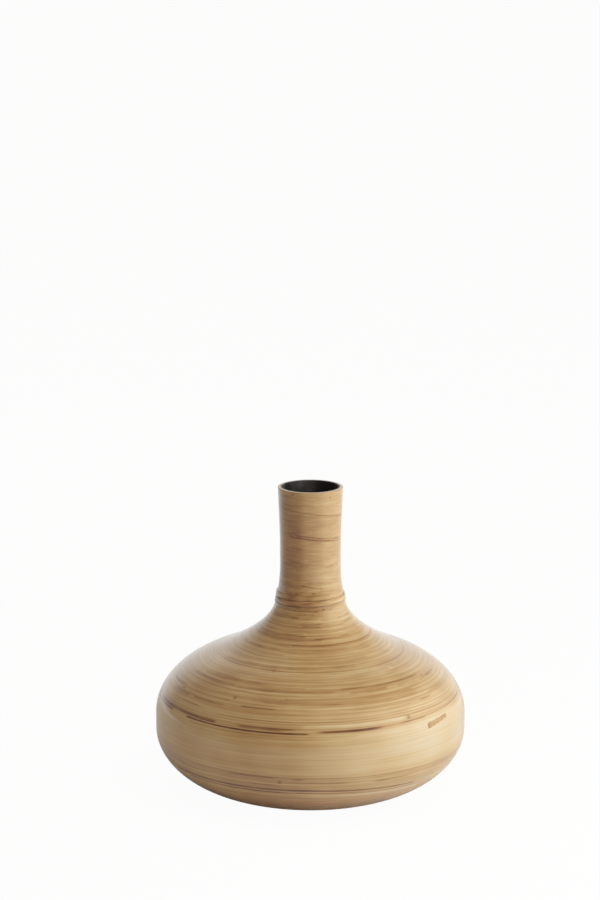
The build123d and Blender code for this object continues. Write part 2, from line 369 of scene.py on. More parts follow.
def wound_mesh(
    name, outline, start, end, edges, shares, columns, wall, lift, paint, sway, left_handed=False, lip=0.0
):
    """A closed ring of the wall whose outside is wound in one spiral.

    edges are how far along the outline the spiral's seam passes the back, one for each turn, and shares the
    rows across a turn. lift gives a row's level, paint its tone and its reddish patches, some painted shade,
    and sway how far it strays along the outline. lip rounds the ring's upper outer edge.
    """
    turns = len(edges)
    rows = [(number, share) for number in range(turns) for share in shares]
    rows.append((turns - 1, 1.0))
    outer = len(rows)
    if lip:
        rows += [("lip", share) for share in (0.33, 0.67, 1.0)]
    inner_steps = max(2, math.ceil((end - start) / INNER_ROW))
    rows += [("inside", 1 - step / inner_steps) for step in range(inner_steps + 1)]
    rows.append((0, 0.0))
    last = len(rows) - 1
    hand = -1 if left_handed else 1

    def seam(number, column):
        """How far along the outline the lower edge of a turn lies at a column."""
        if number == 0:
            return start
        if number == turns:
            return end - lip
        low, high = edges[number - 1], edges[number]
        return clamp(low + (high - low) * column / columns, start, end - lip)

    def place(column, row):
        """Where a point of the grid goes, and its azimuth and height on the outline."""
        number, share = rows[row]
        azimuth = hand * TURN * column / columns - math.pi
        if number == "inside":
            length, level = start + (end - start) * share, -wall
        elif number == "lip":
            turn = share * math.pi / 2
            length, level = end - lip * (1 - math.sin(turn)), -lip * (1 - math.cos(turn))
        else:
            low, high = seam(number, column), seam(number + 1, column)
            length = low + (high - low) * share
        length += sway(length, azimuth)
        point, out = outline.at(length)
        if row < outer or row == last:
            # The last row closes the ring on its first one, at the same level
            turn = number + column / columns
            full = min(1.0, (high - low) / FULL_TURN)
            base = lift(turn, 0.0, azimuth, point.y)
            level = base + (lift(turn, share, azimuth, point.y) - base) * full
        radius = point.x + out.x * level
        if radius < POLE_RADIUS:
            radius = 0.0
            level = -wall if number == "inside" else 0.0
        return round_axis(radius, azimuth, point.y + out.y * level), azimuth, point.y

    bm, (winding, tones, blushes_and_shade), cells = painted_grid(columns, last)
    spots = {vert: place(*cell) for vert, cell in cells.items()}
    for face in bm.faces:
        row = min(cells[vert][1] for vert in face.verts)
        left = min(cells[vert][0] for vert in face.verts)
        lined = rows[row][0] == "inside" and row < last - 1
        face.material_index = int(lined)
        outside = row < outer - 1
        number = rows[row][0] if outside else turns - 1
        for loop in face.loops:
            column, loop_row = cells[loop.vert]
            next_turn = loop_row > row and rows[loop_row][1] == 0.0
            share = 1.0 if next_turn or not outside else rows[loop_row][1]
            azimuth, height = spots[loop.vert][1:]
            loop[winding].uv = (number + column / columns, share if outside else 0.5)
            loop[tones], loop[blushes_and_shade] = paint(number + (left + 0.5) / columns, share, azimuth, height)
    for vert, (spot, azimuth, height) in spots.items():
        vert.co = spot
    if left_handed:
        bmesh.ops.reverse_faces(bm, faces=bm.faces)
    return smooth_mesh(bm, name, 40)


def tube_mesh(name, inner, outer, low, high, columns):
    """A plain tube with a softened upper rim, spun from its section."""
    bm = bmesh.new()
    round_over = min(0.15 * MM, (outer - inner) / 3)
    section = [
        (inner, low), (outer, low), (outer, high - round_over), (outer - round_over, high),
        (inner + round_over, high), (inner, high - round_over),
    ]
    verts = [bm.verts.new((radius, 0, height)) for radius, height in section]
    edges = [bm.edges.new((verts[i], verts[(i + 1) % len(verts)])) for i in range(len(verts))]
    bmesh.ops.spin(
        bm, geom=verts + edges, cent=(0, 0, 0), axis=(0, 0, 1), angle=TURN, steps=columns, use_merge=True,
        use_duplicate=False,
    )
    bmesh.ops.recalc_face_normals(bm, faces=bm.faces)
    return smooth_mesh(bm, name, 35)


def splint_edges(start, end, least, most, draw):
    """Where a spiral of splints of uneven width passes the back."""
    edges = [start]
    while edges[-1] < end - most:
        edges.append(edges[-1] + draw.uniform(least, most))
    edges.append(end)
    return edges


def level_sway(length, azimuth):
    """The splints run level."""
    return 0.0


def body_sway(outline):
    """How the body's splints stray: they fall a little to the right on the bowl, and rise above it."""
    low_middle = outline.at_height(40 * MM)
    low_reach = low_middle - outline.marks["foot"]
    high_middle = outline.marks["band"]
    high_reach = 40 * MM

    def near(length, middle, reach):
        return math.cos(clamp((length - middle) / reach, -1, 1) * math.pi / 2) ** 2

    def sway(length, azimuth):
        fall = near(length, low_middle, low_reach) * 1.6 * MM
        rise = near(length, high_middle, high_reach) * 1.0 * MM
        return math.sin(azimuth - math.radians(10)) * (rise - fall)

    return sway


# How much a splint's middle stands above its edges
CROWN = 0.012 * MM


def splint_lift(winding, seed):
    """The level of a splint: sunk at its edges, and each length of splint a little higher or lower."""
    draws = {}

    def lift(turn, share, azimuth, height):
        if share in (0.0, 1.0):
            return -winding.groove_depth
        run = math.floor(turn / winding.splint_run_share)
        if run not in draws:
            draw = random.Random(seed * 7919 + run)
            draws[run] = (draw.random() * winding.splint_lift, (draw.random() - 0.5) * winding.splint_lift)
        sunk, lean = draws[run]
        crown = CROWN if share == 0.5 else 0.0
        return lean * (share - 0.5) * 2 + crown - sunk - CROWN

    return lift


# Splints that stand out on the real surface, darker or paler than their neighbours. Each is its height in
# front in mm, how much it rises in 10 degrees, from and to in degrees to the right of the front, half its
# width in mm, and how much darker or paler it is.
BODY_LINES = (
    # Bowl
    (53.4, 0, -32, -12, 0.6, -0.2), (52.5, 0, -7, -2, 0.8, -0.2),
    (50.9, 0, -63, -50, 0.6, -0.18), (48.7, 0, -60, -38, 0.6, -0.28), (49.2, -0.5, -10, 16, 0.5, -0.24),
    (50.5, -0.3, -9, 32, 0.5, 0.1), (48.4, -0.55, 22, 40, 0.6, -0.34),
    (49.7, 0, 55, 74, 0.5, -0.22), (45.2, 0, 57, 74, 0.5, -0.22), (45.6, 0, -25, -10, 0.5, -0.2),
    (40.4, 0, -62, -1, 0.8, -0.52), (40.3, -0.9, -3, 44, 0.8, -0.5), (37.3, 0, -54, -7, 0.9, -0.28),
    (37.2, -0.85, -7, 62, 0.7, -0.28), (35.2, -1, -6, 50, 1, 0.18),
    (28.3, 0, -20, -19, 1.2, -0.35), (18, 0, -60, 40, 1.6, -0.14),
    (49.2, 0, -12.2, -11, 1.8, -0.4), (39.4, 0, 39, 40.2, 1.4, 0.2),
    # Under the dark splint
    (92.9, 0, -52, 18, 0.8, -0.16), (91, 0, -28, 16, 0.4, -0.13),
    # Dark splint
    (95.8, 0, -54.5, 0, 0.65, -0.9), (97.7, 0, -50, -8, 0.5, -0.3),
    (96, 0, -90, -62.5, 1, -0.62), (97.4, 0.05, 0.5, 29, 1.1, -0.8), (97.9, 0.1, 20, 50, 0.6, -0.26),
    (97, 0.42, 34, 84, 0.4, -0.4), (96.6, 0, 100, 142, 1.3, -0.5), (97.2, 0, 150, 176, 0.9, -0.42),
    # Low shoulder
    (101.6, 0.1, -4, 39.5, 2, 0.2), (103.8, 0, 42, 62, 0.5, -0.15), (107, 0, 40, 62, 0.6, 0.12),
    (105.2, 0, -41, 20, 0.4, -0.16), (107.5, 0, -62, -47, 0.6, -0.25),
    (113.2, 0.1, -57, -36, 0.7, -0.3), (112.2, 0, -74, -57, 0.7, -0.3),
    (114.5, 0, -30, -14, 0.45, -0.42), (115, 0, -67, -64, 0.8, -0.4),
    (117.1, 0.1, -84, -66, 0.5, -0.46), (117, 0, -58, -35, 0.4, -0.16),
    (116.4, -0.05, -16, 62, 0.6, 0.16), (112.4, 0, 49, 58, 0.5, -0.3),
    (113.8, -0.1, 14, 60, 0.4, -0.14), (118.9, -0.2, -22, 52, 0.8, -0.17),
    (125.3, -0.1, -46, 62, 0.9, 0.15), (125.8, 0, 17.5, 38, 0.7, -0.22),
    (127.4, 0, -70, -37, 0.7, -0.15), (127.2, 0, -37, 12, 0.6, -0.14), (129.5, -0.1, -64, -2, 0.6, -0.2),
    (129.2, -0.15, 13, 62, 0.45, -0.22), (131.3, 0, -58, -21.5, 0.9, -0.15),
    (125.2, 0, 64, 78, 0.5, -0.25), (119.2, 0, -34.4, -33, 1.3, -0.35),
    (113.4, 0, -33.6, -32.4, 1.2, -0.35), (101.8, 0, 39.4, 40.6, 2, -0.25),
    (99.6, 0, -16.2, -15, 0.9, -0.3), (131.6, 0, 10, 11.2, 1.5, -0.2), (126, 0, 63, 64, 1.2, -0.2),
    # High shoulder
    (139.4, 0, -24, -21, 1, -0.2), (136.6, 0, 49, 53, 0.9, 0.14), (138, 0, -78, 60, 0.7, 0.13),
    (141.6, 0.1, -66, 30, 0.7, -0.15), (143.6, 0.3, -80, 8, 0.6, 0.14),
    (149.5, 0, -70, -20, 0.5, -0.14), (152.5, 0, -80, -24, 0.5, -0.22),
    # Flare and throat
    (160, 0, -74, 12, 0.9, -0.11), (162.6, 0, -74, -4, 1, -0.15), (160.8, 0.4, 4, 46, 0.6, -0.15),
    (164.6, 0, -10, 60, 0.8, 0.12), (170.6, 0, -12, 14, 0.5, -0.18),
    (172.9, 0, -18, 18, 0.8, -0.13), (175.6, 0, -76, 18, 0.5, 0.14), (177.4, 0, -30, 10, 0.6, -0.14),
    (180.8, 0, -22, 6, 0.8, -0.16), (183.6, 0, -30, 14, 0.4, -0.34), (185.4, 0, 18, 24, 0.5, -0.36),
)
NECK_LINES = (
    (255.4, -0.53, -30, 78, 0.6, -0.26), (252.9, -0.53, -44, 78, 0.6, -0.28),
    (257.8, -0.2, -50, -28, 0.6, -0.14), (276.6, -0.1, -78, -44, 0.5, -0.16),
    (227, 0, -23, -3, 0.4, -0.22), (222.6, 0, 0, 18, 0.35, 0.1), (219.6, 0, 0, 18, 0.35, 0.1),
    (210.2, 0, -12, 42, 0.3, -0.14), (206.6, -0.7, -18, 11, 0.45, -0.42),
    (203.4, 0, -46, 18, 1.6, 0.12), (206.8, 0, 18, 62, 1.2, 0.1), (200.4, 0, 2, 9, 0.8, -0.34),
    (199.6, 0, -29, -22, 0.7, -0.22), (296.6, 0, -36, -31, 0.5, -0.36), (294.2, 0, 8, 11.5, 0.5, -0.3),
    (293.5, 0, 35, 38.5, 0.5, -0.36), (224.8, 0, 30, 44, 0.5, -0.16), (221.2, 0, 26, 34, 0.5, -0.14),
    (221.6, 0, 38, 41, 0.6, 0.16), (226, 0, 40, 48, 0.4, -0.18),
)
# Reddish patches, some of them painted shade: as above, with how red they are. The broad washes down the
# neck's left and round the bowl's bottom are painted shade.
BLUSHES_AND_SHADE = (
    (69, 0, -74, -18, 11, 0.5), (111, 0, -44, -6, 3, 0.75), (113, 0, -74, -36, 1.4, 0.7),
    (97.6, 0, 0, 46, 1.6, 0.85), (240, 0, -84, -4, 52, 0.8), (162, 0, -70, 0, 3, 0.35),
    (254.1, -0.53, -44, 78, 1.8, 0.8), (164.5, 0, 52, 84, 0.9, 0.7), (22, 0, -88, 88, 17, 0.9),
    (129.5, 0, -60, -20, 3, 0.35), (194.5, 0, 40, 80, 1.5, 0.7),
)
# How far the edges of splints and of patches fade, as a share of each
SPLINT_SOFT = 0.3
PATCH_SOFT = 0.8
# The back has lines like the front's, which lie this many mm higher and lean the other way
BACK_LIFT = 1.9
# How far lines and patches spread past their width, in mm, and how far a line runs on before its start, in
# degrees, so that a reader finds it from either side
LINE_SPREAD = 0.3
LINE_LEAD = 20


def line_reader(lines, soft):
    """Reads a table of lines at any azimuth and height."""
    levels = {}
    for height, rise, first, last, half, shade in lines:
        if soft == SPLINT_SOFT:
            fade = min(random.Random(int(height * 10)).uniform(1.0, 6.0), (last - first) * 0.3)
        else:
            fade = (last - first) * 0.4
        for turned, up, lean in ((0, height, rise), (180, height + BACK_LIFT, -rise)):
            reach = half + 0.4 + abs(lean) * max(abs(first), abs(last)) / 10
            for level in range(math.floor(up - reach), math.floor(up + reach) + 1):
                levels.setdefault(level, []).append((up, lean, turned, first, last, half, shade, fade))

    def read(azimuth, height):
        total = 0.0
        z = height / MM
        for middle, lean, turned, first, last, half, shade, fade in levels.get(math.floor(z), ()):
            degrees = (math.degrees(azimuth) - turned - first + LINE_LEAD) % 360 + first - LINE_LEAD
            inside = min(degrees - first, last - degrees)
            off = abs(z - middle - lean * degrees / 10)
            if inside < 0 or off > half + LINE_SPREAD:
                continue
            across = step_up(half + LINE_SPREAD - off, 0.0, max(0.5, half * soft * 2))
            # A splint's colour comes and goes along it
            broken = 0.8 + 0.5 * noise.noise(Vector((degrees * 0.16, middle, turned)))
            total += shade * across * step_up(inside, 0.0, fade) * broken
        return total

    return read


def painted_light_side(azimuth, low, high):
    """1 on the vase's right, where the key light falls and the bamboo is painted paler as painted light, and
    0 on its left and back.
    """
    degrees = (math.degrees(azimuth) + 180) % 360 - 180
    return step_up(degrees, low, high) * (1 - step_up(degrees, 115, 175))


def drift(azimuth, height, spread, rise):
    """Noise that drifts round the vase, and up it. More spread or rise makes it change sooner."""
    return noise.noise(Vector((math.cos(azimuth) * spread, math.sin(azimuth) * spread, height / MM * rise)))


# How many splints are smoked, and how much darker that makes them
SMOKED_SHARE = 0.07
SMOKED_SHADE = 0.12
# How much a splint's tone drifts along it
SPLINT_DRIFT = 0.07


def splint_paint(winding, seed, base, spread, pale):
    """The tone of a splint, 0 for dark to 1 for pale, and its reddish patches, some of them painted shade.
    pale is painted light: what the lit right side adds.
    """
    lines = line_reader(BODY_LINES, SPLINT_SOFT)
    blushes_and_shade = line_reader(BLUSHES_AND_SHADE, PATCH_SOFT)
    draws = {}

    def paint(turn, share, azimuth, height):
        run = math.floor(turn / winding.splint_run_share)
        if run not in draws:
            draw = random.Random(seed * 104729 + run)
            own = base + spread * (draw.random() - 0.5) * 2
            draws[run] = own - (SMOKED_SHADE if draw.random() < SMOKED_SHARE else 0.0)
        # Painted light: the lit right side is painted paler
        side = pale * painted_light_side(azimuth, -12, 34)
        tone = draws[run] + SPLINT_DRIFT * drift(azimuth, height, 0.8, 0.17) + side
        return tone + winding.line_share * lines(azimuth, height), blushes_and_shade(azimuth, height)

    return paint


def add_node(tree, kind, inputs=(), **options):
    """Adds a shader node, gives it its options, and sets its inputs or links them to nodes or sockets."""
    node = tree.nodes.new("ShaderNode" + kind)
    for name, value in options.items():
        setattr(node, name, value)
    for key, value in dict(inputs).items():
        if isinstance(value, bpy.types.Node):
            value = value.outputs[0]
        if isinstance(value, bpy.types.NodeSocket):
            tree.links.new(value, node.inputs[key])
        else:
            node.inputs[key].default_value = value
    return node


def node_adder(owner):
    """Clears the nodes of a new material or world, and gives the function that adds its own."""
    owner.use_nodes = True
    owner.node_tree.nodes.clear()
    return partial(add_node, owner.node_tree)


def set_stops(ramp, stops):
    """Gives a colour ramp its stops, from (place, colour) pairs."""
    elements = ramp.color_ramp.elements
    while len(elements) < len(stops):
        elements.new(0.5)
    for element, (place, colour) in zip(elements, stops):
        element.position = place
        element.color = (*colour, 1)


# Nearly all of a noise lies between these, so what reads it runs from one to the other
NOISE_SPAN = {"From Min": 0.3, "From Max": 0.7}
# How much slow clouds and quick fibres each shift the tone, up or down
GRAIN_SHADE = {"To Min": -0.07, "To Max": 0.07}
# Fibre height in mm, waves of the fibre round the vase, and how much darker the edges are
BAMBOOS = {
    "splints": (1.1, 3.0, 0.08),
    "band": (1.4, 1.6, 0.0),
    "strip": (1.3, 2.2, 0.0),
}


def bamboo(kind, colours):
    """The bamboo of one kind, made the first time it is asked for."""
    name = f"lacquered bamboo {kind}"
    return bpy.data.materials.get(name) or lacquered_bamboo(name, colours, *BAMBOOS[kind])


def lacquered_bamboo(name, colours, fibre_mm, wave, edge_shade):
    """Split bamboo, sanded and coated with clear semi-gloss lacquer.

    The tone of each splint is in the mesh. The fibres run along the splint, the edges soak up stain, and the
    lacquer lays a smooth film over it all, so the wood's own grain shows in colour more than in relief.
    """
    material = bpy.data.materials.new(name)
    node = node_adder(material)
    tone = node("Attribute", attribute_name="tone").outputs["Fac"]
    blush_and_shade = node("Attribute", attribute_name="blush_and_shade").outputs["Fac"]
    across = node("SeparateXYZ", {0: node("UVMap", uv_map="Winding")}).outputs[1]
    place = node("TexCoord").outputs["Object"]

    # Slow changes of tone, about 60 mm across
    cloud = node("TexNoise", {"Vector": place, "Scale": 16.0, "Detail": 2.0})
    # Fibres: long round the vase, fine across it. They follow a circle round the axis, and the height.
    parts = node("SeparateXYZ", {0: place}).outputs
    flat = node("CombineXYZ", {0: parts[0], 1: parts[1]})
    circle = node("VectorMath", {0: flat}, operation="NORMALIZE")
    upright = node("CombineXYZ", {2: parts[2]})
    fine = node("VectorMath", {0: upright, 1: (0, 0, 1 / (fibre_mm * MM))}, operation="MULTIPLY")
    round_way = node("VectorMath", {0: circle, "Scale": wave}, operation="SCALE")
    fibre_place = node("VectorMath", {0: fine, 1: round_way}, operation="ADD")
    fibre = node("TexNoise", {"Vector": fibre_place, "Scale": 1.0, "Detail": 3.0})

    shade = tone
    for grain in (cloud, fibre):
        shift = node("MapRange", {"Value": grain, **NOISE_SPAN, **GRAIN_SHADE})
        shade = node("Math", {0: shade, 1: shift}, operation="ADD")
    # Edges of a splint: darker where the joint has soaked up stain
    middle = node("Math", {0: across, 1: 0.5}, operation="SUBTRACT")
    off = node("Math", {0: middle}, operation="ABSOLUTE")
    edge_span = {"From Min": 0.36, "From Max": 0.5, "To Min": 0.0, "To Max": edge_shade}
    edge = node("MapRange", {"Value": off, **edge_span})
    shade = node("Math", {0: shade, 1: edge}, operation="SUBTRACT")
    ramp = node("ValToRGB", {0: shade})
    set_stops(ramp, [
        (0.0, colours.tone_0), (0.28, colours.tone_1), (0.52, colours.tone_2),
        (0.76, colours.tone_3), (1.0, colours.tone_4),
    ])
    # Reddish patches darken the colour; their broad washes down the neck's left and round the bowl's bottom
    # are painted shade
    redden = {"Factor": blush_and_shade, 6: ramp, 7: (*colours.blush_and_shade, 1)}
    colour = node("Mix", redden, data_type="RGBA", blend_type="MULTIPLY").outputs[2]
    bump = node("Bump", {"Height": fibre, "Strength": 0.25, "Distance": 0.04 * MM})
    rough = node("MapRange", {"Value": fibre, **NOISE_SPAN, "To Min": 0.38, "To Max": 0.52})
    shader = node("BsdfPrincipled", {
        "Base Color": colour, "Roughness": rough, "IOR": 1.5, "Normal": bump,
        "Coat Weight": 1.0, "Coat Roughness": 0.14, "Coat IOR": 1.6,
    })
    node("OutputMaterial", {0: shader})
    return material


def lining_lacquer(colours):
    """The lacquer of the inside, made the first time it is asked for."""
    name = "black lacquer lining"
    return bpy.data.materials.get(name) or black_lacquer(name, colours)


def black_lacquer(name, colours):
    """Black lacquer brushed on the inside: semi-gloss, with brush waves and patches where it is thinner."""
    material = bpy.data.materials.new(name)
    node = node_adder(material)
    place = node("TexCoord").outputs["Object"]
    # Brush waves about 4 mm apart, and patches of about 15 mm
    wave = node("TexNoise", {"Vector": place, "Scale": 260.0, "Detail": 2.0})
    bump = node("Bump", {"Height": wave, "Strength": 0.2, "Distance": 0.1 * MM})
    rough = node("MapRange", {"Value": wave, **NOISE_SPAN, "To Min": 0.4, "To Max": 0.52})
    patch = node("TexNoise", {"Vector": place, "Scale": 70.0, "Detail": 3.0})
    coat = node("ValToRGB", {0: patch})
    set_stops(coat, [(0.35, colours.lining_thick), (0.7, colours.lining)])
    shader = node("BsdfPrincipled", {"Base Color": coat, "Roughness": rough, "IOR": 1.5, "Normal": bump})
    node("OutputMaterial", {0: shader})
    return material


# The coils from the floor up: the CAD node, the marks on the outline that it runs between, the tone of its
# splints, how much they differ, and how much paler they are painted on the vase's lit right, as painted light
COILS = (
    ("floor_core", "centre", "core", 0.46, 0.10, 0.0),
    ("floor_coil", "core", "foot", 0.46, 0.10, 0.0),
    ("bowl_coil_1", "foot", "bowl_1", 0.44, 0.06, 0.08),
    ("bowl_coil_2", "bowl_1", "bowl_2", 0.47, 0.07, 0.11),
    ("bowl_coil_3", "bowl_2", "bowl_3", 0.51, 0.08, 0.20),
    ("shoulder_coil_1", "dark", "shoulder_1", 0.56, 0.08, 0.08),
    ("shoulder_coil_2", "shoulder_1", "shoulder_2", 0.56, 0.08, 0.06),
    ("shoulder_coil_3", "shoulder_2", "shoulder_3", 0.58, 0.07, 0.04),
    ("shoulder_coil_4", "shoulder_3", "flare_1", 0.57, 0.07, 0.04),
    ("shoulder_coil_5", "flare_1", "flare_2", 0.53, 0.08, 0.06),
    ("throat", "flare_2", "throat", 0.50, 0.09, 0.10),
)
# Rows across a splint: its edge, the inside of the edge, its middle, and the inside of the other edge
SPLINT_SHARES = (0.0, 0.12, 0.5, 0.88)


class VASE_OT_coils(bpy.types.Operator):
    """Winds the floor, the bowl and the shoulder from narrow splints"""

    bl_idname = "vase.coils"
    bl_label = "Floor, bowl and shoulder coils"

    def execute(self, context):
        sizes, winding, colours = settings(context)
        outline = Outline(sizes)
        body = (sizes.body_wall, body_sway(outline))
        floor = (sizes.floor_wall, level_sway)
        others = {"floor_core": floor, "floor_coil": floor, "throat": (sizes.throat_wall, body[1])}
        for number, (name, low, high, base, spread, pale) in enumerate(COILS):
            start, end = outline.marks[low], outline.marks[high]
            wall, sway = others.get(name, body)
            draw = random.Random(40 + number)
            edges = splint_edges(start, end, winding.splint_least, winding.splint_most, draw)
            mesh = wound_mesh(
                name + "_splints", outline, start, end, edges, SPLINT_SHARES, winding.columns, wall,
                splint_lift(winding, number), splint_paint(winding, number, base, spread, pale), sway,
            )
            piece = link(mesh, name + "_splints", [bamboo("splints", colours), lining_lacquer(colours)])
            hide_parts(name)
        return {"FINISHED"}


class VASE_OT_band(bpy.types.Operator):
    """Lays the broad splint round the belly, and the dark splint on top of it"""

    bl_idname = "vase.band"
    bl_label = "Belly band and dark splint"

    def execute(self, context):
        sizes, winding, colours = settings(context)
        outline = Outline(sizes)
        marks = outline.marks
        sway = body_sway(outline)
        start, end = marks["bowl_3"], marks["band"]
        rows = round((end - start) / (0.8 * MM))
        shares = tuple(step / rows for step in range(rows))
        notch_reach = winding.notch_length / 2 / sizes.belly_radius

        def notch(azimuth, height):
            """1 at the notch's sharp left end, less to its right end, and 0 outside it."""
            along = (azimuth - winding.notch_angle) / notch_reach
            middle = winding.notch_height + winding.notch_rise / 2 * along
            if abs(along) > 1 or abs(height - middle) > winding.notch_width / 2 * (1 - 0.15 * along):
                return 0.0
            return 0.6 - 0.4 * along

        def band_lift(turn, share, azimuth, height):
            if share in (0.0, 1.0):
                return -winding.groove_depth
            grain = 0.012 * MM * noise.noise(Vector((0.0, 0.0, height / MM * 0.8)))
            return -0.02 * MM + grain - winding.notch_depth * notch(azimuth, height)

        # Painted light: the band's lit right side is painted paler
        plain = splint_paint(winding, 90, 0.57, 0.0, 0.26)

        def notch_paint(depth, azimuth, height):
            """Bare fibres of a darker tan, with painted shade where the notch is deeper and a painted shadow
            at its sharp end.
            """
            end_shade = 0.22 * step_up(depth, 0.94, 1.0)
            grain = 0.10 * noise.noise(Vector((azimuth * 9, height / MM * 1.3, 4.0)))
            return 0.54 - 0.12 * depth - end_shade + grain, 0.0

        def band_paint(turn, share, azimuth, height):
            depth = notch(azimuth, height)
            if depth:
                return notch_paint(depth, azimuth, height)
            tone, blush_and_shade = plain(turn, share, azimuth, height)
            low_shade = -0.06 * clamp((66 * MM - height) / (12 * MM), 0.0, 1.0)
            return tone + 0.05 * drift(azimuth, height, 2, 0.09) + low_shade, blush_and_shade

        mesh = wound_mesh(
            "belly_band_splint", outline, start, end, [end], shares, winding.columns * 2, sizes.body_wall,
            band_lift, band_paint, sway,
        )
        band = link(mesh, "belly_band_splint", [bamboo("band", colours), lining_lacquer(colours)])
        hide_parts("belly_band")

        def dark_lift(turn, share, azimuth, height):
            return -winding.groove_depth * (1.0 if share in (0.0, 1.0) else 0.6)

        mesh = wound_mesh(
            "dark_splint_line", outline, end, marks["dark"], [marks["dark"]],
            tuple(step / 10 for step in range(10)), winding.columns * 2, sizes.body_wall, dark_lift,
            splint_paint(winding, 91, 0.58, 0.0, 0.12), sway,
        )
        dark = link(mesh, "dark_splint_line", [bamboo("band", colours), lining_lacquer(colours)])
        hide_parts("dark_splint")
        return {"FINISHED"}


class VASE_OT_neck(bpy.types.Operator):
    """Winds the neck's broad strip, and its core and lining"""

    bl_idname = "vase.neck"
    bl_label = "Neck strip, core and lining"

    def execute(self, context):
        sizes, winding, colours = settings(context)
        outline = Outline(sizes)
        start, end = outline.marks["throat"], outline.marks["lip"]
        front_height = sizes.vase_height - winding.seam_drop
        front_seam = outline.at_height(front_height)
        edges = [front_seam + winding.strip_width * (number - 2.5) for number in range(6)]
        edges[0] = min(edges[0], start)
        edges[-1] = max(edges[-1], end)
        rows = round(winding.strip_width / (0.7 * MM))
        shares = (0.0, 0.01) + tuple((step + 1) / (rows + 1) for step in range(rows)) + (0.99,)
        lines = line_reader(NECK_LINES, SPLINT_SOFT)
        blushes_and_shade = line_reader(BLUSHES_AND_SHADE, PATCH_SOFT)

        def lift(turn, share, azimuth, height):
            if share in (0.0, 1.0):
                return -winding.strip_seam_depth
            return -0.02 * MM + 0.025 * MM * noise.noise(Vector((turn * 3, share * 14, 2.0)))

        def paint(turn, share, azimuth, height):
            near = min(share, 1 - share) * winding.strip_width / MM
            on_second = abs(height - front_height + winding.strip_width * azimuth / TURN) < 3 * MM
            stain = 0.08 if on_second else 0.02
            shade = stain * math.exp(-near / 0.8) + (stain if near < 0.3 else 0.0)
            # Painted light: the neck is painted paler in two steps towards its lit right, where its shade
            # ends and where the softbox's reflection lies
            pale = 0.13 * painted_light_side(azimuth, -24, -6) + 0.09 * painted_light_side(azimuth, 12, 34)
            grain = 0.08 * drift(azimuth, height, 1, 0.3)
            tone = 0.38 - shade + pale + grain + winding.line_share * lines(azimuth, height)
            return tone, blushes_and_shade(azimuth, height)

        mesh = wound_mesh(
            "neck_strip", outline, start, end, edges, shares, winding.neck_columns, sizes.wrap_wall, lift,
            paint, level_sway, left_handed=True, lip=sizes.lip_round,
        )
        strip = link(mesh, "neck_strip", [bamboo("strip", colours), lining_lacquer(colours)])
        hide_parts("neck_wrap")

        low = sizes.vase_height - sizes.mouth_depth
        coat = sizes.mouth_radius + sizes.lining_coat
        for name, node, inner, outer, slot in (
            ("neck_core_roll", "neck_core", coat, node_top("neck_core").x, "bamboo"),
            ("neck_lining_coat", "neck_lining", sizes.mouth_radius, coat, "black_lacquer"),
        ):
            # The lacquer laps over the core's rim and the spigot's foot, so both are black where they show
            mesh = tube_mesh(name, inner, outer, low, sizes.vase_height, winding.neck_columns)
            piece = link(mesh, name, [lining_lacquer(colours)])
            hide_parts(node)
        return {"FINISHED"}


# The strap's section: up, as a share of half its width, and out, as a share of its thickness
STRAP_SECTION = (
    (-1, 0.05), (-1, 0.55), (-0.93, 0.85), (-0.6, 1.0), (0.0, 1.02),
    (0.6, 1.0), (0.93, 0.85), (1, 0.55), (1, 0.05), (0.0, 0.02),
)
# Its points at the lower and at the upper edge
STRAP_LOW_EDGE = (0, 1, 2)
STRAP_HIGH_EDGE = (6, 7, 8)


